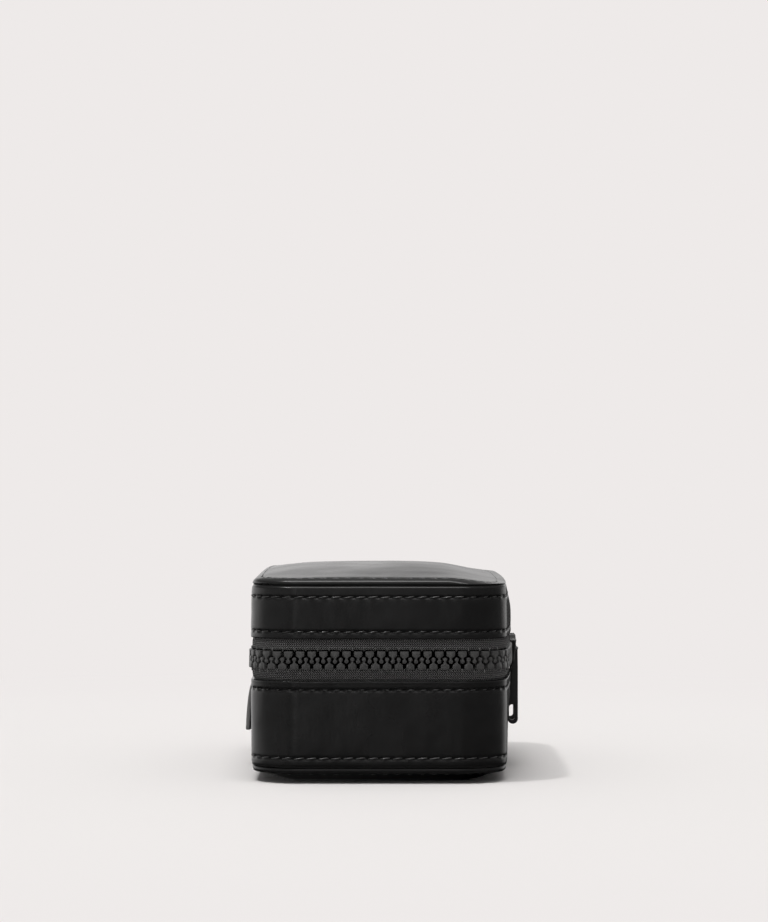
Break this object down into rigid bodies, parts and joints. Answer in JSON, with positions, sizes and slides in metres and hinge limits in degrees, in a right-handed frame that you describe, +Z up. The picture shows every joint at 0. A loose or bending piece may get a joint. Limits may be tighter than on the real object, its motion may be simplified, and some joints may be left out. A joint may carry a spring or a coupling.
{
  "type": "leather jewellery case",
  "caption": "Small zip-round leather jewellery case: padded lid hinged on a lined base with ring rolls and dividers, closed by a chunky zip.",
  "frame": {"origin": "middle of the flat face the closed case rests on", "axes": "+X along the case's longest side, the zip's sliders meet on the -Y face and the hinge is on the +Y face, +Z up"},
  "size_m": [0.129, 0.0871, 0.065],
  "materials": {
    "black_leather": "smooth, fine grain, soft sheen",
    "foam": "matt, never seen",
    "board": "matt fibreboard, never seen",
    "suede_lining": "napped, matt",
    "elastic": "woven, matt",
    "zip_tape": "woven twill, matt",
    "zip_resin": "moulded, low sheen",
    "black_zinc": "black lacquer, semi-gloss",
    "hook_steel": "black lacquer, semi-gloss"
  },
  "bodies": {
    "base": {"base_bottom_leather": "black_leather", "base_bottom_foam": "foam", "base_side_leather": "black_leather", "base_floor_board": "board", "base_wall_board": "board", "base_wall_lining": "suede_lining", "base_floor_pad": "suede_lining", "hinge_leather": "black_leather", "hinge_lining": "suede_lining", "zip_tape_base": "zip_tape", "zip_teeth_base": "zip_resin", "zip_stop_base_left": "zip_resin", "zip_stop_base_right": "zip_resin", "ring_roll_1": "suede_lining", "ring_roll_2": "suede_lining", "ring_roll_3": "suede_lining", "ring_roll_4": "suede_lining", "cross_divider": "suede_lining", "long_divider": "suede_lining", "short_divider": "suede_lining"},
    "lid": {"lid_top_leather": "black_leather", "lid_top_foam": "foam", "lid_side_leather": "black_leather", "lid_top_board": "board", "lid_wall_board": "board", "lid_wall_lining": "suede_lining", "lid_top_pad": "suede_lining", "zip_tape_lid": "zip_tape", "zip_teeth_lid": "zip_resin", "zip_stop_lid_left": "zip_resin", "zip_stop_lid_right": "zip_resin", "lid_pocket": "suede_lining", "pocket_elastic": "elastic", "hook_strap": "black_leather", "necklace_hook_1": "hook_steel", "necklace_hook_2": "hook_steel", "necklace_hook_3": "hook_steel", "necklace_hook_4": "hook_steel"},
    "slider_left": {"slider_left": "black_zinc"},
    "slider_left_pull": {"slider_left_pull": "black_zinc"},
    "slider_right": {"slider_right": "black_zinc"},
    "slider_right_pull": {"slider_right_pull": "black_zinc"},
    "grip_tab": {"grip_tab": "black_leather"}
  },
  "joints": [
    {"name": "lid_hinge", "type": "hinge", "parent": "base", "child": "lid", "pos_m": [0, 0.0385, 0.0373], "axis": [-1, 0, 0], "range_deg": [0, 110], "deforming": ["hinge_leather", "hinge_lining"]},
    {"name": "slider_left_travel", "type": "hinge", "parent": "base", "child": "slider_left", "pos_m": [0, 0.48477, 0.0373], "axis": [0, 0, -1], "range_deg": [0, 4], "deforming": ["zip_teeth_base", "zip_teeth_lid", "zip_tape_base", "zip_tape_lid"]},
    {"name": "slider_right_travel", "type": "hinge", "parent": "base", "child": "slider_right", "pos_m": [0, 0.48477, 0.0373], "axis": [0, 0, 1], "range_deg": [0, 4], "deforming": ["zip_teeth_base", "zip_teeth_lid", "zip_tape_base", "zip_tape_lid"]},
    {"name": "slider_left_pull_swing", "type": "hinge", "parent": "slider_left", "child": "slider_left_pull", "pos_m": [-0.00723, -0.04345, 0.0373], "axis": [-0.9999, 0.0135, 0], "range_deg": [0, 165]},
    {"name": "slider_right_pull_swing", "type": "hinge", "parent": "slider_right", "child": "slider_right_pull", "pos_m": [0.00723, -0.04345, 0.0373], "axis": [-0.9999, -0.0135, 0], "range_deg": [0, 165]},
    {"name": "grip_tab_flex", "type": "hinge", "parent": "base", "child": "grip_tab", "pos_m": [0, 0.0395, 0.0276], "axis": [1, 0, 0], "range_deg": [-3, 60], "stiffness_Nm_per_rad": 0.002, "deforming": ["grip_tab"]}
  ]
}
